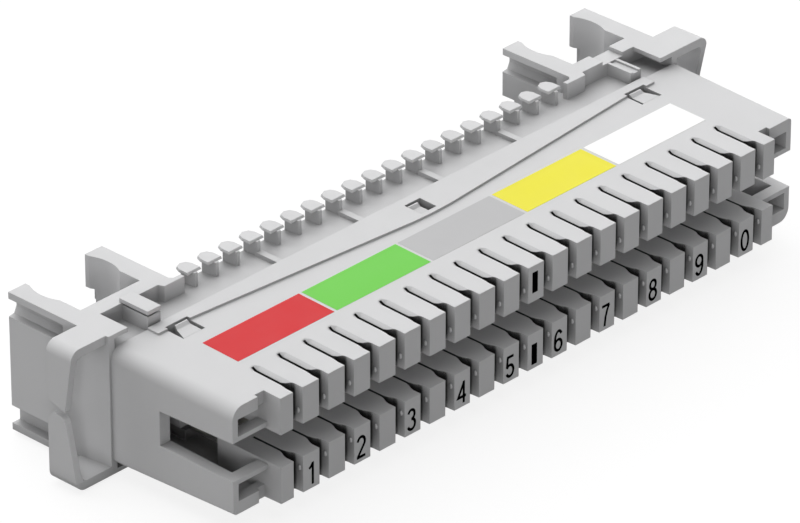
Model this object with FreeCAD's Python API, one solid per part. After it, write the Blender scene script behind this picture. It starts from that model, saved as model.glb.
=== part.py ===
import FreeCAD, Part
import math
import os

from FreeCAD import Vector

# Ten-pair disconnection block that clips onto two upright round rods.
# X runs along the row of slots, -Y is the wiring face, +Y the rods, +Z up.
# The part looks the same after half a turn about its Y centre line, so the
# upper half is drawn and the lower half is that half turn of it.
# While it is drawn, Y is 0 at the teeth and Z is 0 at the middle of the block.

# Slots, teeth and contacts
pairs = 10
slot_count = 2 * pairs
pitch = 4.75
tooth_width = 3.0
row_height = 5.4
test_slot_height = 4.85
slit_width = 0.4
slit_rear_y = 8.1
mouth_straight = 1.3
mouth_end_y = 3.2
funnel_width = 1.56
funnel_depth = 0.42
funnel_rear_y = 8.3
end_tooth_cut = 0.71

# Front housing
housing_depth = 24.0
housing_rise = 0.72
end_front_x = 54.57
end_rear_x = 55.0
end_setback = 2.4
end_wall = 1.6
corner_r = 1.9
tight_corner_r = 0.6
cavity_front_y = 11.5
cavity_half_height = 6.9
notch_width = 1.66
notch_depth = 0.6
side_slot_front = 5.64
side_slot_rear = 5.12
side_slot_end_y = 15.4
pocket_low_z = 3.5
pocket_high_z = 6.05
pocket_lip = 1.8
pocket_wall = 0.97

# Raised pad at the rear of both broad faces: its reach forward from the rear
# edge, and the three latch windows in it
pad_step = 0.3
pad_half_length = 48.3
pad_end_reach = 2.0
pad_shoulder_x = 42.0
pad_shoulder_reach = 2.1
pad_bow_x = 6.0
pad_bow_reach = 5.05
pad_apex_reach = 5.35
window_x = 44.6
window_width = 4.0
window_length = 3.35
centre_window_width = 3.0
centre_window_length = 3.05
window_margin = 1.5

# Rear base; a "set" is a distance behind the rear edge of the housing
base_half_height = 10.36
deck_z = 7.9
deck_thickness = 1.5
deck_length = 6.7
front_wall = 1.6
flange_inner_x = 51.84
flange_front_x = 55.3
flange_web_lap = 1.06
web_set = 5.1
web_thickness = 2.56
lip_width = 2.4
lip_thickness = 0.65

# Clip arms around the rods
rod_radius = 6.0
rod_clearance = 0.12
rod_spacing = 95.0
rod_set = 14.3
arm_thickness = 3.1
arm_length = 17.95
seat_half_gap = 5.4
groove_depth = 1.4
groove_lip_depth = 0.95
groove_low_z = 6.7
groove_lip_rise = 0.15
groove_ledge_z = 7.8
groove_high_z = 9.36
groove_set = 7.8
jaw_low_z = 5.5
jaw_relief = 1.6
jaw_relief_length = 1.55
near_tip_length = 2.25
near_tip_z = 3.0

# Wire ring at each end, drawn for the left-hand one
ring_reach = 5.6
ring_lap = 1.1
ring_step = 0.5
ring_plate = 1.25
ring_corner_r = 1.5
finger_thickness = 0.95
upper_tip_z = 1.0
upper_tip_set = 1.87
upper_tip_rise = 0.65
upper_tip_round = 0.6
lower_tip_z = 0.155
lower_tip_set = 1.7
lower_tip_round = 0.95

# Wire comb
peg_count = 19
peg_pitch = 3.9
peg_head_r = 1.31
peg_head_set = 4.64
peg_head_straight = 1.53
peg_head_thickness = 0.36
peg_head_bevel = 0.12
peg_head_drop = 0.12
post_front_width = 0.55
post_rear_width = 1.0
post_set = 4.25
post_length = 2.4
deck_rib_height = 0.6
deck_rib_width = 1.05
deck_rib_every = 4

# Blocks between the comb and the clips
block_inner_gap = 1.75
block_width = 3.7
block_set = 4.25
block_length = 0.75
block_splay = 0.4
arm_web_chamfer = 0.5

# Stacking tab and its seat
tab_x = 46.7
tab_cap_width = 2.4
tab_cap_thickness = 0.57
tab_set = 0.3
tab_cap_length = 5.25
tab_wall_inset = 0.06
tab_neck_inset = 0.45
tab_neck_height = 0.3
tab_seat_x = 47.55
tab_seat_width = 2.1
tab_seat_z = 9.5
seat_ridge_width = 0.5
seat_ridge_height = 0.25
web_notch_width = 4.15
web_notch_depth = 0.58

# Latch tongues and the rails behind the contacts
latch_clearance = 0.15
tongue_thickness = 1.2
nose_width = 2.2
nose_inner_gap = 0.5
nose_outer_gap = 0.25
nose_rear_gap = 0.45
centre_nose_width = 1.85
centre_nose_gap = 0.1
nose_crest = 0.2
nose_crest_drop = 0.05
nose_run = 0.45
nose_dip = 0.42
rail_low_z = 2.6
rail_high_z = 4.6
rail_half_length = 47.5
contact_gap = 0.3

# Contacts
sheet = 0.6
blade_width = 3.2
blade_z = 5.1
blade_tip_y = 3.3
fork_gap = 0.36
fork_mouth = 0.7
fork_end_y = 8.6
blade_root_y = 11.6
twist_end_y = 14.0
tail_width = 1.7
spring_sheet = 0.5
spring_rear_y = 18.8
spring_return_z = 1.5
spring_touch_y = 13.6
spring_tip_y = 12.9
spring_tip_z = 0.7
spring_touch_length = 0.6
pocket_clearance = 0.05

# Values worked out from the sizes above
half_height = test_slot_height / 2 + row_height
rows_x = pitch * slot_count / 2
end_tooth_x = rows_x + tooth_width / 2 - end_tooth_cut
gap_width = pitch - tooth_width
web_front_y = housing_depth + web_set
web_rear_y = web_front_y + web_thickness
ring_rear_y = web_front_y
block_front_y = housing_depth + block_set
rod_y = housing_depth + rod_set
overall_depth = housing_depth + arm_length
window_rear_y = housing_depth - window_margin
overall_half_height = base_half_height + tab_cap_thickness
seat_x = rod_spacing / 2
seat_radius = rod_radius + rod_clearance
arm_inner_far = seat_x + seat_half_gap
arm_inner_near = seat_x - seat_half_gap
flange_rear_x = arm_inner_far + arm_thickness
flange_web_x = arm_inner_far - flange_web_lap
ring_outer_x = flange_rear_x + ring_reach
block_inner_x = arm_inner_near - arm_thickness - block_inner_gap
block_outer_x = block_inner_x + block_width
FAR = 80.0


def box(x0, x1, y0, y1, z0, z1):
    """Box between two opposite corners."""
    return Part.makeBox(x1 - x0, y1 - y0, z1 - z0, Vector(x0, y0, z0))


def flat_wire(points, place):
    """Closed wire through points, with place turning each pair into a vector."""
    corners = [place(a, b) for a, b in points]
    return Part.makePolygon(corners + corners[:1])


def prism_x(points, x0, x1):
    """Outline in Y and Z, extruded along X."""
    wire = flat_wire(points, lambda y, z: Vector(x0, y, z))
    return Part.Face(wire).extrude(Vector(x1 - x0, 0, 0))


def prism_y(points, y0, y1):
    """Outline in X and Z, extruded along Y."""
    wire = flat_wire(points, lambda x, z: Vector(x, y0, z))
    return Part.Face(wire).extrude(Vector(0, y1 - y0, 0))


def prism_z(points, z0, z1):
    """Outline in X and Y, extruded along Z."""
    wire = flat_wire(points, lambda x, y: Vector(x, y, z0))
    return Part.Face(wire).extrude(Vector(0, 0, z1 - z0))


def arc_edge(start, middle, end):
    return Part.Arc(start, middle, end).toShape()


def line_edge(start, end):
    return Part.LineSegment(start, end).toShape()


def solid_between(first, second, twisted):
    """Flat-sided solid between two outlines; twisted sides are split in two."""
    faces = [Part.Face(Part.makePolygon(first + first[:1])),
             Part.Face(Part.makePolygon(second + second[:1]))]
    for index in range(len(first)):
        after = (index + 1) % len(first)
        corners = [first[index], first[after], second[after], second[index]]
        sides = [corners[:3], [corners[0], corners[2], corners[3]]] if twisted else [corners]
        for side in sides:
            faces.append(Part.Face(Part.makePolygon(side + side[:1])))
    solid = Part.Solid(Part.Shell(faces))
    return solid if solid.Volume > 0 else solid.reversed()


def half_turn(shape):
    """Copy of a shape after half a turn about the Y centre line."""
    copy = shape.copy()
    copy.rotate(Vector(0, 0, 0), Vector(0, 1, 0), 180)
    return copy


def mirror_x(shape):
    return shape.mirror(Vector(0, 0, 0), Vector(1, 0, 0))


def mirror_z(shape):
    return shape.mirror(Vector(0, 0, 0), Vector(0, 0, 1))


def both_faces(shapes):
    """The given shapes and their half turns."""
    return list(shapes) + [half_turn(shape) for shape in shapes]


def top_at(y):
    """Height of the upper broad face, which rises gently to the rear."""
    return half_height + housing_rise * y / housing_depth


def slot_x(index):
    return (index + 0.5) * pitch - rows_x


def long_corners(blank, side):
    """Long outer edges of the blank where X times Z has the sign of side."""
    found = []
    for edge in blank.Edges:
        middle = edge.valueAt((edge.FirstParameter + edge.LastParameter) / 2)
        along_y = edge.BoundBox.YLength > housing_depth / 2
        outside = abs(middle.x) > end_tooth_x + 1 and abs(middle.z) > half_height
        if along_y and outside and side * middle.x * middle.z > 0:
            found.append(edge)
    return found


def housing_blank():
    """Wedge-shaped body with drafted ends and rounded long corners."""
    plan = [(end_tooth_x, 0), (end_tooth_x, end_setback), (end_front_x, end_setback),
            (end_rear_x, housing_depth)]
    plan = plan + [(-x, y) for x, y in reversed(plan)]
    side = [(0, top_at(0)), (housing_depth, top_at(housing_depth)),
            (housing_depth, -top_at(housing_depth)), (0, -top_at(0))]
    blank = prism_z(plan, -FAR, FAR).common(prism_x(side, -FAR, FAR))
    blank = blank.makeFillet(corner_r, long_corners(blank, -1))
    return blank.makeFillet(tight_corner_r, long_corners(blank, 1))


def pad():
    """Raised pad with a bowed front edge, following the slope of the face."""
    reach = [(pad_half_length, 0), (pad_half_length, pad_end_reach),
             (pad_shoulder_x, pad_shoulder_reach), (pad_bow_x, pad_bow_reach)]
    left = [Vector(-x, housing_depth - forward, 0) for x, forward in reach]
    right = [Vector(-point.x, point.y, 0) for point in reversed(left)]
    edges = [line_edge(a, b) for a, b in zip(left, left[1:])]
    edges.append(arc_edge(left[-1], Vector(0, housing_depth - pad_apex_reach, 0), right[0]))
    edges += [line_edge(a, b) for a, b in zip(right, right[1:])]
    edges.append(line_edge(right[-1], left[0]))
    outline = Part.Face(Part.Wire(edges)).extrude(Vector(0, 0, FAR))
    side = [(0, 0), (0, top_at(0) + pad_step),
            (housing_depth, top_at(housing_depth) + pad_step), (housing_depth, 0)]
    wedge = prism_x(side, -FAR, FAR)
    return outline.common(wedge).cut(box(-FAR, FAR, -FAR, FAR, -FAR, cavity_half_height + 0.2))


def slit(x):
    """Wire slit through both rows, opening to the front in a bevelled mouth."""
    half_mouth = gap_width / 2
    half_slit = slit_width / 2
    shoulder = (half_mouth - half_slit) / 4
    run = (mouth_end_y - mouth_straight) / 3
    side = [(half_mouth, -1), (half_mouth, mouth_straight),
            (half_mouth - shoulder, mouth_straight + run),
            (half_slit + shoulder, mouth_end_y - run),
            (half_slit, mouth_end_y), (half_slit, slit_rear_y)]
    right = [(x + across, y) for across, y in side]
    left = [(x - across, y) for across, y in reversed(side)]
    return prism_z(right + left, -FAR, FAR)


def funnel_outline(x, half_width, lift):
    """Outline of the lead-in at one height over the broad face, round behind."""
    centre_y = funnel_rear_y - funnel_width / 2
    plan = [(x + half_width, -1)]
    for angle in (0, 65, 115, 180):
        turn = math.radians(angle)
        plan.append((x + half_width * math.cos(turn), centre_y + half_width * math.sin(turn)))
    plan.append((x - half_width, -1))
    return [Vector(across, y, top_at(y) + lift) for across, y in plan]


def funnel(x):
    """Bevelled lead-in that guides a wire from the broad face into its slit."""
    over = 0.4
    half_slit = slit_width / 2
    spread = half_slit + (funnel_width / 2 - half_slit) * (funnel_depth + over) / funnel_depth
    low = funnel_outline(x, half_slit, -funnel_depth)
    return solid_between(low, funnel_outline(x, spread, over), False)


def blade_slot(x):
    """Pocket at 45 degrees that holds the blade of one contact."""
    half_width = blade_width / 2 + pocket_clearance
    half_sheet = sheet / 2 + pocket_clearance
    pocket = box(-half_width, half_width, blade_tip_y - pocket_clearance, cavity_front_y + 1,
                 -half_sheet, half_sheet)
    pocket.rotate(Vector(0, 0, 0), Vector(0, 1, 0), -45)
    pocket.translate(Vector(x, 0, blade_z))
    return pocket


def arm_hollows():
    """Openings in the two upper end arms: front window, hollow and notch."""
    inner = end_tooth_x
    outer = end_front_x - end_wall
    hollow = box(inner, outer, end_setback + pocket_lip, cavity_front_y + 1,
                 test_slot_height / 2, cavity_half_height)
    window = box(inner, end_front_x - pocket_wall, end_setback - 1, end_setback + pocket_lip + 1,
                 pocket_low_z, pocket_high_z)
    notch = box(inner, inner + notch_width, end_setback - 1, end_setback + notch_depth,
                pocket_high_z - 1, FAR)
    shapes = [hollow, window, notch]
    return shapes + [mirror_x(shape) for shape in shapes]


def side_slot():
    """Tapered slot through both end walls, level with the test slot."""
    profile = [(-1, -side_slot_front / 2), (-1, side_slot_front / 2),
               (end_setback, side_slot_front / 2), (side_slot_end_y, side_slot_rear / 2),
               (side_slot_end_y, -side_slot_rear / 2), (end_setback, -side_slot_front / 2)]
    right = prism_x(profile, end_tooth_x, FAR)
    return [right, mirror_x(right)]


def latch_windows():
    """The three windows through the upper broad face."""
    shapes = []
    places = ((-window_x, window_width, window_length), (window_x, window_width, window_length),
              (0, centre_window_width, centre_window_length))
    for x, width, length in places:
        shapes.append(box(x - width / 2, x + width / 2, window_rear_y - length, window_rear_y,
                          cavity_half_height - 1, FAR))
    return shapes


def front_housing():
    body = housing_blank()
    upper_pad = pad()
    body = body.fuse([upper_pad, half_turn(upper_pad)])
    cavity = box(-(end_front_x - end_wall), end_front_x - end_wall, cavity_front_y,
                 housing_depth + 1, -cavity_half_height, cavity_half_height)
    test_slot = box(-end_tooth_x - 0.01, end_tooth_x + 0.01, -1, cavity_front_y + 1,
                    -test_slot_height / 2, test_slot_height / 2)
    cuts = [cavity, test_slot] + side_slot()
    cuts += both_faces(arm_hollows() + latch_windows())
    slits = [slit(slot_x(index)) for index in range(slot_count)]
    funnels = both_faces([funnel(slot_x(index)) for index in range(slot_count)])
    pockets = both_faces([blade_slot(slot_x(index)) for index in range(slot_count)])
    body = body.cut(cuts)
    body = body.cut(slits)
    body = body.cut(funnels)
    body = body.cut(pockets)
    return body.removeSplitter()


def clip_arms():
    """The two arms that grip the right-hand rod, with jaws top and bottom."""
    height = base_half_height
    end = overall_depth
    far = box(arm_inner_far, arm_inner_far + arm_thickness, web_front_y, end, -height, height)
    near = box(arm_inner_near - arm_thickness, arm_inner_near, web_front_y, end, -height, height)
    groove_profile = [(0, groove_low_z), (groove_lip_depth, groove_low_z + groove_lip_rise),
                      (groove_depth, groove_ledge_z), (groove_depth, groove_high_z),
                      (0, groove_high_z)]
    cuts = []
    for face_x, inward in ((arm_inner_far + arm_thickness, -1), (arm_inner_near - arm_thickness, 1)):
        outline = [(face_x + inward * depth, z) for depth, z in groove_profile]
        groove = prism_y(outline, housing_depth + groove_set, end + 1)
        cuts += [groove, mirror_z(groove)]
    cuts.append(box(arm_inner_near - jaw_relief, arm_inner_far + jaw_relief,
                    end - jaw_relief_length, end + 1, -jaw_low_z, jaw_low_z))
    cuts.append(box(arm_inner_near - arm_thickness - 1, seat_x, end - near_tip_length, end + 1,
                    -near_tip_z, near_tip_z))
    rod = Part.makeCylinder(seat_radius, 2 * height + 2, Vector(seat_x, rod_y, -height - 1))
    return far.fuse(near).cut(cuts + [rod])


def ring_opening():
    """Outline in Y and Z of the space between the ring's two fingers and before them."""
    root = base_half_height - ring_plate
    ahead = housing_depth - 1
    behind = ring_rear_y + 1
    upper_y = housing_depth + upper_tip_set
    lower_y = housing_depth + lower_tip_set
    upper_rear_z = upper_tip_z + upper_tip_rise
    shoulder = lower_tip_z - lower_tip_round
    return [(ahead, root), (housing_depth + ring_step, root), (upper_y, upper_tip_z),
            (ring_rear_y - upper_tip_round, upper_rear_z),
            (ring_rear_y, upper_rear_z + upper_tip_round),
            (behind, upper_rear_z + upper_tip_round), (behind, shoulder), (ring_rear_y, shoulder),
            (ring_rear_y - lower_tip_round, lower_tip_z), (lower_y + lower_tip_round, lower_tip_z),
            (lower_y + lower_tip_round / 3, lower_tip_z - lower_tip_round / 3),
            (lower_y, shoulder), (housing_depth, -root), (ahead, -root)]


def wire_ring():
    """Ring for loose wires at the left-hand end, open between two fingers."""
    height = base_half_height
    inner = flange_rear_x - ring_lap
    outer = ring_outer_x
    frame = box(inner, outer, housing_depth, ring_rear_y, -height, height)
    round_edges = [edge for edge in frame.Edges
                   if edge.BoundBox.YLength > 1 and abs(edge.BoundBox.Center.x - outer) < 0.01]
    frame = frame.makeFillet(ring_corner_r, round_edges)
    hole = box(inner - 1, outer - finger_thickness, housing_depth - 1, ring_rear_y + 1,
               -height + ring_plate, height - ring_plate)
    hole_edges = [edge for edge in hole.Edges if edge.BoundBox.YLength > 1
                  and abs(edge.BoundBox.Center.x - outer + finger_thickness) < 0.01]
    hole = hole.makeFillet(ring_corner_r - finger_thickness / 2, hole_edges)
    opening = prism_x(ring_opening(), outer - finger_thickness - 0.3, outer + 1)
    step = box(inner - 1, outer + 1, housing_depth - 1, housing_depth + ring_step, 0, FAR)
    return mirror_x(frame.cut([hole, opening, step]))


def flange():
    """Right-hand flange that carries the ring and meets the far clip arm."""
    height = base_half_height
    outline = [(flange_inner_x, housing_depth), (flange_front_x, housing_depth),
               (flange_rear_x, ring_rear_y), (flange_rear_x, web_rear_y),
               (flange_web_x, web_rear_y)]
    under = box(flange_inner_x - 1, flange_inner_x + lip_width, housing_depth - 1, web_front_y,
                deck_z, height - lip_thickness)
    return prism_z(outline, -height, height).cut([under, mirror_z(under)])


def end_group():
    """Everything at the right-hand end that is the same top and bottom."""
    height = base_half_height
    block_rear_y = block_front_y + block_length
    arm_side = arm_inner_near - arm_thickness
    web = box(arm_inner_near - 1, flange_web_x + 1, web_front_y, web_rear_y, -height, height)
    outline = [(block_inner_x, block_front_y), (block_outer_x, block_front_y),
               (block_outer_x + block_splay, web_front_y + 0.1),
               (arm_side + 0.2, block_rear_y + arm_web_chamfer),
               (arm_side, block_rear_y + arm_web_chamfer),
               (arm_side - arm_web_chamfer, block_rear_y), (block_inner_x, block_rear_y)]
    block = prism_z(outline, -height, height)
    return flange().fuse([web, block, clip_arms()])


def peg_head_outline(x, inset, z):
    """Outline of a peg head, straight in front and round behind."""
    radius = peg_head_r - inset
    front = housing_depth + peg_head_set
    centre_y = front + peg_head_straight
    outline = [Vector(x - radius, front + inset, z), Vector(x + radius, front + inset, z)]
    for angle in (0, 45, 90, 135, 180):
        turn = math.radians(angle)
        outline.append(Vector(x + radius * math.cos(turn), centre_y + radius * math.sin(turn), z))
    return outline


def peg(x):
    """Comb peg: a slim post under a bevelled head."""
    top = base_half_height - peg_head_drop
    low = top - peg_head_thickness
    front = housing_depth + post_set
    head = solid_between(peg_head_outline(x, 0, low), peg_head_outline(x, peg_head_bevel, top), False)
    rear = front + post_length
    outline = [(x - post_front_width / 2, front), (x + post_front_width / 2, front),
               (x + post_rear_width / 2, rear), (x - post_rear_width / 2, rear)]
    return head.fuse(prism_z(outline, deck_z - 0.1, low + 0.1))


def comb():
    """Upper deck with its ribs and row of pegs."""
    first = -(peg_count - 1) / 2
    shapes = [box(-flange_inner_x - 1, flange_inner_x + 1, housing_depth, web_front_y + 1,
                  deck_z - deck_thickness, deck_z),
              box(-block_inner_x - 1, block_inner_x + 1, housing_depth,
                  housing_depth + deck_length, deck_z - deck_thickness, deck_z)]
    for index in range(peg_count):
        place = first + index
        x = place * peg_pitch
        shapes.append(peg(x))
        if (place + deck_rib_every / 2) % deck_rib_every == 0:
            shapes.append(box(x - deck_rib_width / 2, x + deck_rib_width / 2, housing_depth,
                              housing_depth + post_set + 0.1, deck_z - 0.1,
                              deck_z + deck_rib_height))
    return shapes


def stacking_tab():
    """Flat cap on a wall with a narrow neck, at the left of the upper face."""
    top = base_half_height
    front = housing_depth + tab_set
    shapes = [box(-tab_x - tab_cap_width / 2, -tab_x + tab_cap_width / 2, front,
                  front + tab_cap_length, top, top + tab_cap_thickness)]
    parts = ((tab_wall_inset, deck_z - 0.1, top - tab_neck_height),
             (tab_neck_inset, top - tab_neck_height - 0.1, top + 0.1))
    for inset, low, high in parts:
        half = tab_cap_width / 2 - inset
        shapes.append(box(-tab_x - half, -tab_x + half, front + inset, web_front_y + 0.1, low, high))
    return shapes


def tab_seat():
    """Low block with two ridges, at the right of the upper face."""
    half = tab_seat_width / 2
    front = housing_depth + tab_set + tab_neck_inset
    block = box(tab_seat_x - half, tab_seat_x + half, front, web_front_y + 0.1,
                deck_z - 0.1, tab_seat_z)
    shapes = [block]
    for x0 in (tab_seat_x - half, tab_seat_x + half - seat_ridge_width):
        shapes.append(box(x0, x0 + seat_ridge_width, front, web_front_y + 0.1,
                          tab_seat_z - 0.1, tab_seat_z + seat_ridge_height))
    return shapes


def web_notch():
    """Notch in the upper web that takes the tab of the next block."""
    return box(tab_seat_x - web_notch_width / 2, tab_seat_x + web_notch_width / 2,
               web_front_y, web_rear_y + 0.1, base_half_height - web_notch_depth, FAR)


def nose_profile(front, rear):
    """Side outline of a latch nose: a long dip that rises to a crest behind."""
    low = cavity_half_height - latch_clearance - 0.1
    foot = rear - nose_crest - nose_run
    crest = top_at(rear) + pad_step - nose_crest_drop
    return [(front, low), (front, top_at(front) + pad_step - nose_dip),
            (foot, top_at(foot) + pad_step - nose_dip), (rear - nose_crest, crest),
            (rear, crest), (rear, low)]


def latches():
    """Three tongues with noses that snap into the upper windows."""
    top = cavity_half_height - latch_clearance
    rear = window_rear_y - nose_rear_gap
    inner = window_x - window_width / 2 + nose_inner_gap
    outer = window_x + window_width / 2 - nose_outer_gap
    front = window_rear_y - window_length + latch_clearance
    plan = [(inner, front), (outer, front), (inner + nose_width, rear), (inner, rear)]
    centre_x = -centre_window_width / 2 + centre_nose_gap
    centre_front = window_rear_y - centre_window_length + latch_clearance
    plans = [plan, [(-x, y) for x, y in plan],
             [(centre_x, centre_front), (centre_x + centre_nose_width, centre_front),
              (centre_x + centre_nose_width, rear), (centre_x, rear)]]
    shapes = []
    for plan in plans:
        places = [x for x, y in plan]
        front = plan[0][1]
        nose = prism_x(nose_profile(front, rear), min(places), max(places))
        shapes.append(nose.common(prism_z(plan, 0, FAR)))
        shapes.append(box(min(places), max(places), front, housing_depth + 0.1,
                          top - tongue_thickness, top))
    return shapes


def rails():
    """Rail that stands just behind the bends of the upper contacts."""
    return [box(-rail_half_length, rail_half_length, spring_rear_y + contact_gap,
                housing_depth + 0.1, rail_low_z, rail_high_z)]


def rear_base():
    right = end_group()
    ring = wire_ring()
    wall = box(-flange_inner_x - 1, flange_inner_x + 1, housing_depth,
               housing_depth + front_wall, -deck_z + 0.5, deck_z - 0.5)
    faces = comb() + stacking_tab() + tab_seat() + latches() + rails()
    body = right.fuse([mirror_x(right), wall] + both_faces(faces + [ring]))
    body = body.cut(both_faces([web_notch()]))
    return body.removeSplitter()


def fork_blade():
    """Fork of the contact, drawn flat around its own centre line."""
    half = blade_width / 2
    tip = blade_tip_y
    outline = [(-half, tip), (-fork_mouth / 2, tip), (-fork_gap / 2, fork_end_y),
               (fork_gap / 2, fork_end_y), (fork_mouth / 2, tip), (half, tip),
               (half, blade_root_y), (-half, blade_root_y)]
    return prism_z(outline, -sheet / 2, sheet / 2)


def contact():
    """One upper contact: fork at 45 degrees, twisted neck and folded spring."""
    fork = fork_blade()
    fork.rotate(Vector(0, 0, 0), Vector(0, 1, 0), -45)
    fork.translate(Vector(0, 0, blade_z))

    t = spring_sheet
    root = neck_section(blade_root_y, 45, blade_width, sheet)
    neck = solid_between(root, neck_section(twist_end_y, 0, tail_width, t), True)
    up = blade_z + t / 2
    down = spring_return_z
    rear = spring_rear_y
    touch = spring_touch_y
    outline = [(twist_end_y, up), (rear, up), (rear, down - t), (touch + spring_touch_length, 0),
               (touch, 0), (spring_tip_y, spring_tip_z - t), (spring_tip_y, spring_tip_z), (touch, t),
               (touch + spring_touch_length, t), (rear - t, down), (rear - t, up - t),
               (twist_end_y, up - t)]
    spring = prism_x(outline, -tail_width / 2, tail_width / 2)
    return fork.fuse([neck, spring]).removeSplitter()


def neck_section(y, turn, width, thickness):
    """Corners of the neck strip at one place, turned about the blade's axis."""
    angle = math.radians(turn)
    corners = []
    for across, up in ((-1, -1), (1, -1), (1, 1), (-1, 1)):
        a = across * width / 2
        b = up * thickness / 2
        corners.append(Vector(a * math.cos(angle) - b * math.sin(angle), y,
                              blade_z + a * math.sin(angle) + b * math.cos(angle)))
    return corners


def write(name, shape):
    """Move a shape from the drawing frame to the part's frame and store it."""
    placed = shape.copy()
    placed.translate(Vector(0, -overall_depth / 2, overall_half_height))
    placed.exportStep(os.path.join("parts", name + ".step"))
    print(name, placed.isValid(), len(placed.Solids), round(placed.Volume, 3))


def main():
    os.makedirs("parts", exist_ok=True)
    write("front_housing", front_housing())
    write("rear_base", rear_base())
    upper = contact()
    for index in range(slot_count):
        placed = upper.copy()
        placed.translate(Vector(slot_x(index), 0, 0))
        write("contact_upper_%02d" % (index + 1), placed)
        write("contact_lower_%02d" % (slot_count - index), half_turn(placed))


main()
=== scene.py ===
import math

import bmesh
import bpy
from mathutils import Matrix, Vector


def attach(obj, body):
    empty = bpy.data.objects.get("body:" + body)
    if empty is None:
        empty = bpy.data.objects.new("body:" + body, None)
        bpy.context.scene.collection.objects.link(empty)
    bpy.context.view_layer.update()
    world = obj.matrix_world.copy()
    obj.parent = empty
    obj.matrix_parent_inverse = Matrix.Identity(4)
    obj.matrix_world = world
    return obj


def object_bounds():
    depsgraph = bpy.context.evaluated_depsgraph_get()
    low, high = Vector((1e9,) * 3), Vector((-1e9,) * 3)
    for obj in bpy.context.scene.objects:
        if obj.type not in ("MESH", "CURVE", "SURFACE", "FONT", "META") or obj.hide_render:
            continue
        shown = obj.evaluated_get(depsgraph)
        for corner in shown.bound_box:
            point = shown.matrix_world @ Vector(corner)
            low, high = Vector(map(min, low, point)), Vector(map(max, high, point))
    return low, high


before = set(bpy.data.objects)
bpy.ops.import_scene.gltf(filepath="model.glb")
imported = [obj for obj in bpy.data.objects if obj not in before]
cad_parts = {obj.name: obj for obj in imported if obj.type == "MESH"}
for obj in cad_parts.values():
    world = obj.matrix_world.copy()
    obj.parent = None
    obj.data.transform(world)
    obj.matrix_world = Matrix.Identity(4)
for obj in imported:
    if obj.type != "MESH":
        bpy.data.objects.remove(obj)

cad_box = [list(corner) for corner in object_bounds()]

# The part's frame: X along the teeth, -Y the wiring face, Z up, all in metres.
# The sizes that the print, the nubs and the shade share with the solids:
MM = 0.001
FRONT_Y = cad_box[0][1]         # where the fronts of the teeth lie
MIDDLE_Z = (cad_box[0][2] + cad_box[1][2]) / 2
PITCH = 4.75 * MM
SLOTS = 20
TEETH = SLOTS + 1
TOOTH_WIDTH = 3.0 * MM
ROW_HEIGHT = 5.4 * MM
SLOT_HALF = 2.425 * MM          # half the height of the test slot between the rows
END_TOOTH_CUT = 0.71 * MM       # how much narrower the outermost teeth are
HALF_HEIGHT = SLOT_HALF + ROW_HEIGHT
FACE_SLOPE = 0.72 / 24          # the broad faces rise by this share to the rear
ROW_MIDDLE = SLOT_HALF + ROW_HEIGHT / 2
INK = 0.02 * MM                 # thickness of a printed mark


def top_z(y):
    """Height of the sloping upper face of the housing at a depth behind the teeth."""
    return MIDDLE_Z + HALF_HEIGHT + FACE_SLOPE * y


# Materials
def node(tree, kind, **inputs):
    """New shader node with some of its inputs set; an underscore stands for a space."""
    made = tree.nodes.new(kind)
    for name, value in inputs.items():
        made.inputs[name.replace("_", " ")].default_value = value
    return made


def noise(tree, vector, **inputs):
    """Cloudy pattern from 0 to 1 over a vector."""
    made = node(tree, "ShaderNodeTexNoise", **inputs)
    tree.links.new(vector, made.inputs["Vector"])
    return made.outputs["Fac"]


def two_tone(tree, factor, first, second):
    """Colour that runs from a first to a second one as a factor grows from 0 to 1."""
    made = tree.nodes.new("ShaderNodeMix")
    made.data_type = "RGBA"
    made.inputs["A"].default_value = (*first, 1)
    made.inputs["B"].default_value = (*second, 1)
    tree.links.new(factor, made.inputs["Factor"])
    return made.outputs["Result"]


# Painted shade: the colour is darkened in slits, gaps and other hollows
CREVICE_REACH = 3.8 * MM        # how far off a surface still counts as shading
CREVICE_SAMPLES = 8
MOUTH_SHADE = 0.25              # share of the colour that the painted shade leaves between the tips of two teeth
SLIT_SHADE = 0.03               # deep in the wire slits behind them
GAP_SHADE = 0.60                # and in the wider gaps of the rear half and the ends
MOUTH_DEPTH = 1.3 * MM          # where the open mouth between two teeth ends
SLITS_DEPTH = 9.5 * MM          # how far behind the teeth the slits reach
SLITS_HALF_LENGTH = SLOTS / 2 * PITCH + TOOTH_WIDTH / 2 - END_TOOTH_CUT
MOUTH_BLEND = 0.15 * MM         # the shade changes over this much on both sides
ROW_BLEND = 0.12 * MM
REAR_BLEND = 1.0 * MM
END_BLEND = (0.10 * MM, 0.02 * MM)
# Openness at which a surface is darkest and at which it keeps its full colour
FRONT_OPEN = (0.15, 0.82)
SLIT_CLOSED = 0.50
REAR_OPEN = (0.40, 1.0)


def remap(tree, value, low, high, to_low, to_high, curve="LINEAR"):
    """Maps low..high of a value to to_low..to_high, each end a number or a socket."""
    made = tree.nodes.new("ShaderNodeMapRange")
    made.interpolation_type = curve
    tree.links.new(value, made.inputs["Value"])
    ends = {"From Min": low, "From Max": high, "To Min": to_low, "To Max": to_high}
    for name, end in ends.items():
        if isinstance(end, bpy.types.NodeSocket):
            tree.links.new(end, made.inputs[name])
        else:
            made.inputs[name].default_value = end
    return made.outputs["Result"]


def calculate(tree, operation, first, second):
    """Arithmetic on a socket and a second term, which is a number or a socket."""
    made = tree.nodes.new("ShaderNodeMath")
    made.operation = operation
    tree.links.new(first, made.inputs[0])
    if isinstance(second, bpy.types.NodeSocket):
        tree.links.new(second, made.inputs[1])
    else:
        made.inputs[1].default_value = second
    return made.outputs[0]


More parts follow.
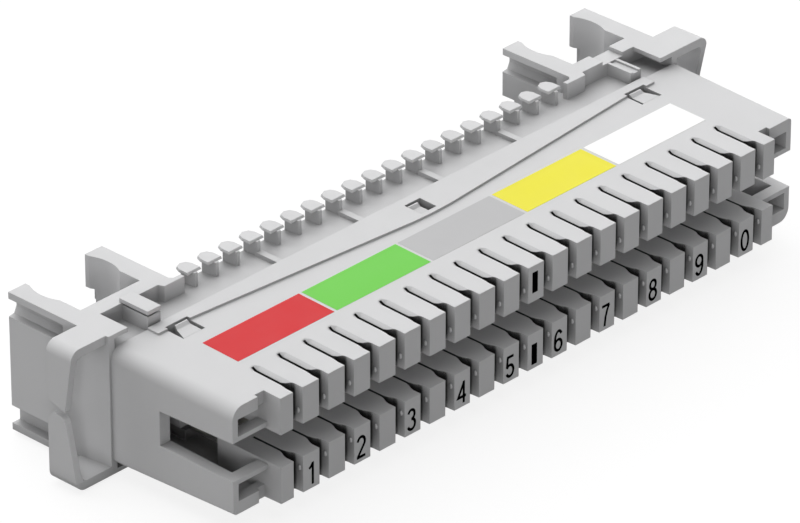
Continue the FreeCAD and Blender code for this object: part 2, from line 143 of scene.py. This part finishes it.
def painted_crevice_shade(tree, surface):
    """Paints shade into a colour where shade gathers: most in the wire slits, less in wide gaps."""
    link = tree.links.new
    place = tree.nodes.new("ShaderNodeTexCoord")
    split = tree.nodes.new("ShaderNodeSeparateXYZ")
    link(place.outputs["Object"], split.inputs["Vector"])

    # How far a point lies inside a slit, from 0 to 1, and whether it lies elsewhere
    depth = split.outputs["Y"]
    mouth_end = FRONT_Y + MOUTH_DEPTH
    slits_end = FRONT_Y + SLITS_DEPTH
    inside = remap(tree, depth, mouth_end - MOUTH_BLEND, mouth_end + MOUTH_BLEND, 0.0, 1.0)
    behind = remap(tree, depth, slits_end, slits_end + REAR_BLEND, 0.0, 1.0)
    across = calculate(tree, "ABSOLUTE", split.outputs["X"], 0.0)
    beside = remap(tree, across, SLITS_HALF_LENGTH - END_BLEND[0],
                   SLITS_HALF_LENGTH - END_BLEND[1], 0.0, 1.0)
    elsewhere = calculate(tree, "MAXIMUM", behind, beside)
    height = calculate(tree, "ABSOLUTE", calculate(tree, "SUBTRACT", split.outputs["Z"], MIDDLE_Z), 0.0)
    in_row = remap(tree, height, SLOT_HALF, SLOT_HALF + ROW_BLEND, 0.0, inside)

    # The share of the colour that the painted shade leaves there
    open_air = node(tree, "ShaderNodeAmbientOcclusion", Distance=CREVICE_REACH)
    open_air.samples = CREVICE_SAMPLES
    front_low = remap(tree, in_row, 0.0, 1.0, FRONT_OPEN[0], SLIT_CLOSED)
    low = remap(tree, elsewhere, 0.0, 1.0, front_low, REAR_OPEN[0])
    high = remap(tree, elsewhere, 0.0, 1.0, FRONT_OPEN[1], REAR_OPEN[1])
    front_least = remap(tree, inside, 0.0, 1.0, MOUTH_SHADE, SLIT_SHADE)
    least = remap(tree, elsewhere, 0.0, 1.0, front_least, GAP_SHADE)
    share = remap(tree, open_air.outputs["AO"], low, high, least, 1.0, "SMOOTHSTEP")

    shade = node(tree, "ShaderNodeMix", Factor=1.0)
    shade.data_type = "RGBA"
    shade.blend_type = "MULTIPLY"
    link(surface, shade.inputs["A"])
    link(share, shade.inputs["B"])
    return shade.outputs["Result"]


MOTTLE_SCALE = 90.0             # pattern scales in steps to the metre
WEAR_SCALE = 260.0
GRAIN_SCALE = 9000.0
GRAIN_DEPTH = 0.01 * MM
WEAR_RANGE = (0.3, 0.7)         # of the wear pattern, from its glossiest to its dullest
ROUGHNESS_SPREAD = 0.06
EDGE_RADIUS = 0.12 * MM         # how far moulded edges look softened
EDGE_SAMPLES = 4
ROLLING_SCALE = 6000.0
ROLLING_STRETCH = 0.06          # the rolling lines are this much coarser along their length
ROLLING_DEPTH = 0.005 * MM
ROLLING_TINT = 0.93
METAL_ROUGHNESS = (0.22, 0.40)


def moulded(name, colour, roughness, grain=0.35, bevel=EDGE_RADIUS, mottle=0.03, gloss=0.25):
    """Moulded plastic or ink: faint mottle, spark-eroded grain, softened edges and shade painted where it
    lies in a crevice.
    """
    mat = bpy.data.materials.new(name)
    mat.use_nodes = True
    tree = mat.node_tree
    link = tree.links.new
    shader = tree.nodes["Principled BSDF"]
    shader.inputs["Specular IOR Level"].default_value = gloss
    place = tree.nodes.new("ShaderNodeTexCoord").outputs["Object"]

    cloud = noise(tree, place, Scale=MOTTLE_SCALE, Detail=3.0, Roughness=0.55)
    dark = [c * (1 - mottle) for c in colour]
    light = [min(c * (1 + mottle), 1.0) for c in colour]
    tint = two_tone(tree, cloud, dark, light)
    # painted shade darkens the mottled colour wherever the surface lies in a crevice
    link(painted_crevice_shade(tree, tint), shader.inputs["Base Color"])

    fine = noise(tree, place, Scale=GRAIN_SCALE, Detail=2.0, Roughness=0.6)
    wear = noise(tree, place, Scale=WEAR_SCALE, Detail=4.0, Roughness=0.6)
    rough = remap(tree, wear, *WEAR_RANGE, roughness - ROUGHNESS_SPREAD, roughness + ROUGHNESS_SPREAD)
    link(rough, shader.inputs["Roughness"])

    bump = node(tree, "ShaderNodeBump", Strength=grain, Distance=GRAIN_DEPTH)
    link(fine, bump.inputs["Height"])
    if bevel:
        soft = node(tree, "ShaderNodeBevel", Radius=bevel)
        soft.samples = EDGE_SAMPLES
        link(soft.outputs["Normal"], bump.inputs["Normal"])
    link(bump.outputs["Normal"], shader.inputs["Normal"])
    return mat


def plated_metal(name, colour):
    """Silver-plated sheet with fine rolling lines along its length."""
    mat = bpy.data.materials.new(name)
    mat.use_nodes = True
    tree = mat.node_tree
    link = tree.links.new
    shader = tree.nodes["Principled BSDF"]
    shader.inputs["Metallic"].default_value = 1.0
    place = tree.nodes.new("ShaderNodeTexCoord").outputs["Object"]
    stretch = node(tree, "ShaderNodeMapping", Scale=(1.0, ROLLING_STRETCH, 1.0))
    link(place, stretch.inputs["Vector"])
    lines = noise(tree, stretch.outputs["Vector"], Scale=ROLLING_SCALE, Detail=3.0)
    tint = two_tone(tree, lines, [c * ROLLING_TINT for c in colour], colour)
    link(tint, shader.inputs["Base Color"])
    rough = remap(tree, lines, 0.0, 1.0, *METAL_ROUGHNESS)
    link(rough, shader.inputs["Roughness"])
    bump = node(tree, "ShaderNodeBump", Strength=0.25, Distance=ROLLING_DEPTH)
    link(lines, bump.inputs["Height"])
    link(bump.outputs["Normal"], shader.inputs["Normal"])
    return mat


def srgb(red, green, blue):
    """Linear colour from 8-bit display values."""
    out = []
    for value in (red, green, blue):
        c = value / 255
        out.append(c / 12.92 if c <= 0.04045 else ((c + 0.055) / 1.055) ** 2.4)
    return tuple(out)


plastic = moulded("grey_plastic", srgb(216, 216, 217), roughness=0.48)
metal = plated_metal("plated_contact", (0.80, 0.79, 0.75))
black_ink = moulded("black_ink", srgb(2, 2, 3), roughness=0.7, grain=0.2, bevel=0, gloss=0.0)
INKS = {
    "red": srgb(219, 55, 59),
    "green": srgb(123, 216, 90),
    "grey": srgb(198, 198, 199),
    "yellow": srgb(249, 240, 72),
    "white": srgb(255, 255, 255),
}

for name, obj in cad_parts.items():
    finish = metal if name.startswith("contact") else plastic
    obj.data.materials.clear()
    obj.data.materials.append(finish)


# Pieces
def piece(name, bm, mat):
    """Visible object from a finished mesh, which rides on the part."""
    mesh = bpy.data.meshes.new(name)
    bmesh.ops.recalc_face_normals(bm, faces=bm.faces)
    bm.to_mesh(mesh)
    bm.free()
    obj = bpy.data.objects.new(name, mesh)
    bpy.context.scene.collection.objects.link(obj)
    mesh.materials.append(mat)
    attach(obj, "root")
    return obj


def sheet_on_top(bm, x0, x1, y0, y1, columns):
    """Thin closed patch of ink on the sloping upper face."""
    rows = []
    for lift in (-INK, INK):
        for y in (y0, y1):
            row = []
            for step in range(columns + 1):
                x = x0 + (x1 - x0) * step / columns
                row.append(bm.verts.new((x, FRONT_Y + y, top_z(y) + lift)))
            rows.append(row)
    low_front, low_rear, high_front, high_rear = rows
    sides = ((low_front, low_rear), (low_rear, high_rear), (high_rear, high_front), (high_front, low_front))
    for a, b in sides:
        for i in range(columns):
            bm.faces.new((a[i], a[i + 1], b[i + 1], b[i]))
    for i in (0, columns):
        bm.faces.new((low_front[i], low_rear[i], high_rear[i], high_front[i]))


# Five colour fields on the upper face, from left to right
FIELD_START = -45.6 * MM
FIELD_LENGTH = 17.84 * MM
FIELD_GAP = 0.50 * MM
FIELD_FRONT = 10.2 * MM
FIELD_REAR = 16.7 * MM
FIELD_COLUMNS = 8
INK_GLOSS = {"white": 0.9}
DULL_GLOSS = 0.12               # of the other inks
for index, colour in enumerate(INKS):
    left = FIELD_START + index * (FIELD_LENGTH + FIELD_GAP)
    bm = bmesh.new()
    sheet_on_top(bm, left, left + FIELD_LENGTH, FIELD_FRONT, FIELD_REAR, FIELD_COLUMNS)
    ink = moulded("ink_" + colour, INKS[colour], roughness=0.55, grain=0.25, bevel=0,
                  mottle=0.02, gloss=INK_GLOSS.get(colour, DULL_GLOSS))
    piece("field_" + colour, bm, ink)


def block(bm, x0, x1, y0, y1, z0, z1):
    """Box between two opposite corners."""
    made = bmesh.ops.create_cube(bm, size=1.0)["verts"]
    for vert in made:
        vert.co.x = x0 if vert.co.x < 0 else x1
        vert.co.y = y0 if vert.co.y < 0 else y1
        vert.co.z = z0 if vert.co.z < 0 else z1


PRINT_SHIFT = -0.2 * MM         # the print sits a little to the left of the teeth's middles
BAR_WIDTH = 1.05 * MM
BAR_HEIGHT = 3.1 * MM
BAR_LIFT = 0.15 * MM            # the upper bar sits above the middle of its row
BAR_DROP = 0.55 * MM            # and the lower bar below the middle of its own
bm = bmesh.new()
for middle in (ROW_MIDDLE + BAR_LIFT, -ROW_MIDDLE - BAR_DROP):
    block(bm, PRINT_SHIFT - BAR_WIDTH / 2, PRINT_SHIFT + BAR_WIDTH / 2, FRONT_Y - INK, FRONT_Y + INK,
          MIDDLE_Z + middle - BAR_HEIGHT / 2, MIDDLE_Z + middle + BAR_HEIGHT / 2)
piece("centre_bars", bm, black_ink)


# Moulded nubs on both sides of each gap between teeth, which hold a wire in its slit
NUB_PROUD = 0.22 * MM
NUB_HALF_LENGTH = 0.3 * MM
NUB_HALF_HEIGHT = 0.42 * MM
NUB_SEGMENTS = 12
NUB_RINGS = 8
# Their depth behind the fronts of the teeth and their height above the middle
NUB_PLACES = ((0.8 * MM, 4.15 * MM), (0.65 * MM, -4.35 * MM))
bm = bmesh.new()
for tooth in range(TEETH):
    for side in (-1, 1):
        if tooth + side in (-1, TEETH):  # no gap lies beyond the outermost teeth
            continue
        for depth, height in NUB_PLACES:
            made = bmesh.ops.create_uvsphere(bm, u_segments=NUB_SEGMENTS, v_segments=NUB_RINGS,
                                              radius=1.0)["verts"]
            side_x = (tooth - SLOTS / 2) * PITCH + side * TOOTH_WIDTH / 2
            for vert in made:
                vert.co = Vector((side_x + vert.co.x * NUB_PROUD,
                                  FRONT_Y + depth + vert.co.y * NUB_HALF_LENGTH,
                                  MIDDLE_Z + height + vert.co.z * NUB_HALF_HEIGHT))
nubs = piece("wire_nubs", bm, plastic)
for face in nubs.data.polygons:
    face.use_smooth = True


# Digits on every second tooth of the lower row, drawn as lines of constant width.
# Their points are shares of the height, from the lower left corner.
DIGIT_HEIGHT = 3.3 * MM
DIGIT_DROP = 0.5 * MM           # digits sit a little below the middle of their row
STROKE = 0.125                  # line width as a share of the height
STROKE_STEP = 0.002 * MM        # each further line of a digit lies this much prouder
MITRE_LIMIT = 0.4               # least cosine by which a corner of a line is widened
ARC_STEPS = 16
RING_STEPS = 28
CLOSED_WITHIN = 1e-6
ONE_MIDDLE = 0.19               # the figure one stands by its stem, not by its width


def arc(centre_x, centre_y, radius_x, radius_y, start, end, steps=ARC_STEPS):
    """Points along an elliptical arc between two angles in degrees."""
    turns = [math.radians(start + (end - start) * i / steps) for i in range(steps + 1)]
    return [(centre_x + radius_x * math.cos(t), centre_y + radius_y * math.sin(t)) for t in turns]


def ring(centre_x, centre_y, radius_x, radius_y):
    """A closed ellipse, marked by its first point being its last."""
    return arc(centre_x, centre_y, radius_x, radius_y, 0, 360, RING_STEPS)


SIX = (ring(0.25, 0.305, 0.2, 0.25),
       arc(0.262, 0.52, 0.212, 0.428, 38, 180) + [(0.05, 0.305)])
DIGITS = {
    "1": ([(0.33, 0.0), (0.33, 1.0)],
          [(0.33, 0.95), (0.24, 0.83), (0.13, 0.75)]),
    "2": (arc(0.25, 0.71, 0.2, 0.238, 168, -28) + [(0.04, 0.052)],
          [(0.0, 0.052), (0.48, 0.052)]),
    "3": (arc(0.24, 0.735, 0.178, 0.213, 162, -90),
          arc(0.24, 0.29, 0.205, 0.236, 90, -160)),
    "4": ([(0.36, 0.0), (0.36, 1.0)],
          [(0.36, 0.93), (0.03, 0.30), (0.49, 0.30)]),
    "5": ([(0.46, 0.948), (0.12, 0.948), (0.07, 0.48)],
          arc(0.245, 0.315, 0.205, 0.262, 148, -156)),
    "6": SIX,
    "7": ([(0.02, 0.948), (0.47, 0.948)],
          [(0.45, 0.948), (0.33, 0.70), (0.24, 0.40), (0.19, 0.0)]),
    "8": (ring(0.25, 0.742, 0.175, 0.206),
          ring(0.25, 0.29, 0.203, 0.236)),
    "9": [[(0.5 - x, 1 - y) for x, y in line] for line in SIX],
    "0": (ring(0.25, 0.5, 0.21, 0.447),),
}


def ribbon(bm, line, proud):
    """One drawn line of constant width as a thin closed strip."""
    closed = math.dist(line[0], line[-1]) < CLOSED_WITHIN
    points = line[:-1] if closed else line
    count = len(points)
    rows = []
    for i, (x, y) in enumerate(points):
        before = points[i - 1] if closed or i > 0 else points[i]
        after = points[(i + 1) % count] if closed or i < count - 1 else points[i]
        along_in = Vector((x - before[0], y - before[1]))
        along_out = Vector((after[0] - x, after[1] - y))
        along_in = along_in.normalized() if along_in.length else along_out.normalized()
        along_out = along_out.normalized() if along_out.length else along_in
        along = (along_in + along_out).normalized()
        reach = STROKE / 2 / max(along.dot(along_in), MITRE_LIMIT)
        side = Vector((-along.y, along.x)) * reach
        rows.append([bm.verts.new((x + sx * side.x, y + sx * side.y, z))
                     for sx, z in ((1, proud), (-1, proud), (-1, -INK), (1, -INK))])
    for i in range(count if closed else count - 1):
        a = rows[i]
        b = rows[(i + 1) % count]
        for j in range(4):
            k = (j + 1) % 4
            bm.faces.new((a[j], a[k], b[k], b[j]))
    if not closed:
        bm.faces.new(rows[0])
        bm.faces.new(rows[-1][::-1])


def digit(text, x, z):
    """One printed digit on the front of a lower tooth."""
    bm = bmesh.new()
    for order, line in enumerate(DIGITS[text]):
        ribbon(bm, line, INK / 2 + order * STROKE_STEP)
    xs = [v.co.x for v in bm.verts]
    middle = ONE_MIDDLE if text == "1" else (max(xs) + min(xs)) / 2
    for vert in bm.verts:
        across, up, out = vert.co
        vert.co = Vector((x + (across - middle) * DIGIT_HEIGHT, FRONT_Y - out,
                          z + (up - 0.5) * DIGIT_HEIGHT))
    return bm


for count, text in enumerate("1234567890"):
    tooth = 1 + 2 * count
    bm = digit(text, PRINT_SHIFT + (tooth - SLOTS / 2) * PITCH, MIDDLE_Z - ROW_MIDDLE - DIGIT_DROP)
    piece("digit_" + text, bm, black_ink)


# Stage
FLOOR_HALF = 3.0                # metres
FLOOR_DROP = 0.02 * MM
FLOOR_GREY = 0.20               # what the object sees of the floor
FLOOR_WHITE = 1.06              # what the camera sees of it, before its shadow
SHADOW_SHARE = 0.20             # how much of that white the shadow can take away
SKY_LIGHT = 0.08
WHITE = (1, 1, 1, 1)

floor_mesh = bpy.data.meshes.new("floor")
bm = bmesh.new()
bmesh.ops.create_grid(bm, x_segments=1, y_segments=1, size=FLOOR_HALF)
bm.to_mesh(floor_mesh)
bm.free()
floor = bpy.data.objects.new("floor", floor_mesh)
bpy.context.scene.collection.objects.link(floor)
floor.location.z = -FLOOR_DROP


def seen_white(tree, output, shade, strength=1.0, shadow=0.0):
    """Mixes a surface or world with plain white for rays that see the background."""
    link = tree.links.new
    rays = tree.nodes.new("ShaderNodeLightPath").outputs
    seen = calculate(tree, "MAXIMUM", rays["Is Camera Ray"], rays["Is Glossy Ray"])
    seen = calculate(tree, "MAXIMUM", seen, rays["Is Transmission Ray"])
    kind = "ShaderNodeBackground" if output.bl_idname == "ShaderNodeOutputWorld" else "ShaderNodeEmission"
    bright = node(tree, kind, Color=WHITE, Strength=strength).outputs[0]
    if shadow:
        shaded = tree.nodes.new("ShaderNodeMixShader")
        shaded.inputs[0].default_value = shadow
        link(bright, shaded.inputs[1])
        link(node(tree, "ShaderNodeBsdfDiffuse", Color=WHITE).outputs[0], shaded.inputs[2])
        bright = shaded.outputs[0]
    mix = tree.nodes.new("ShaderNodeMixShader")
    link(seen, mix.inputs[0])
    link(shade, mix.inputs[1])
    link(bright, mix.inputs[2])
    link(mix.outputs[0], output.inputs["Surface"])


floor_mat = bpy.data.materials.new("pale_floor")
floor_mat.use_nodes = True
tree = floor_mat.node_tree
shader = tree.nodes["Principled BSDF"]
shader.inputs["Base Color"].default_value = (FLOOR_GREY, FLOOR_GREY, FLOOR_GREY, 1)
shader.inputs["Roughness"].default_value = 0.9
seen_white(tree, tree.nodes["Material Output"], shader.outputs[0], FLOOR_WHITE, SHADOW_SHARE)
floor_mesh.materials.append(floor_mat)

world = bpy.data.worlds.new("studio")
bpy.context.scene.world = world
world.use_nodes = True
tree = world.node_tree
sky = tree.nodes["Background"]
sky.inputs["Color"].default_value = WHITE
sky.inputs["Strength"].default_value = SKY_LIGHT
seen_white(tree, tree.nodes["World Output"], sky.outputs[0])


def sun(name, strength, spread, azimuth, elevation):
    """Soft distant lamp that shines from an azimuth (0 is from -Y, 90 from +X)."""
    data = bpy.data.lights.new(name, "SUN")
    data.energy = strength
    data.angle = math.radians(spread)
    obj = bpy.data.objects.new(name, data)
    a = math.radians(azimuth)
    e = math.radians(elevation)
    back = Vector((math.sin(a) * math.cos(e), -math.cos(a) * math.cos(e), math.sin(e)))
    obj.rotation_mode = "QUATERNION"
    obj.rotation_quaternion = back.to_track_quat("Z", "Y")
    bpy.context.scene.collection.objects.link(obj)


sun("overhead", strength=0.8, spread=60, azimuth=20, elevation=80)
sun("rear", strength=3.0, spread=100, azimuth=165, elevation=32)
sun("key", strength=0.73, spread=25, azimuth=-50, elevation=12)

# Camera
CAMERA_PLACE = (-0.56640, -0.53217, 0.44484)
CAMERA_TILT = 60.838            # degrees from straight down
CAMERA_TURN = -46.583           # degrees about the upright axis
SENSOR_WIDTH = 36.0             # millimetres, as the lens
LENS = 298.17

camera_data = bpy.data.cameras.new("camera")
camera_data.sensor_width = SENSOR_WIDTH
camera_data.lens = LENS
camera = bpy.data.objects.new("camera", camera_data)
camera.location = CAMERA_PLACE
camera.rotation_euler = (math.radians(CAMERA_TILT), 0.0, math.radians(CAMERA_TURN))
camera_data.clip_start = 0.05
camera_data.clip_end = 20.0
bpy.context.scene.collection.objects.link(camera)
bpy.context.scene.camera = camera

bpy.context.scene.view_settings.view_transform = "Standard"
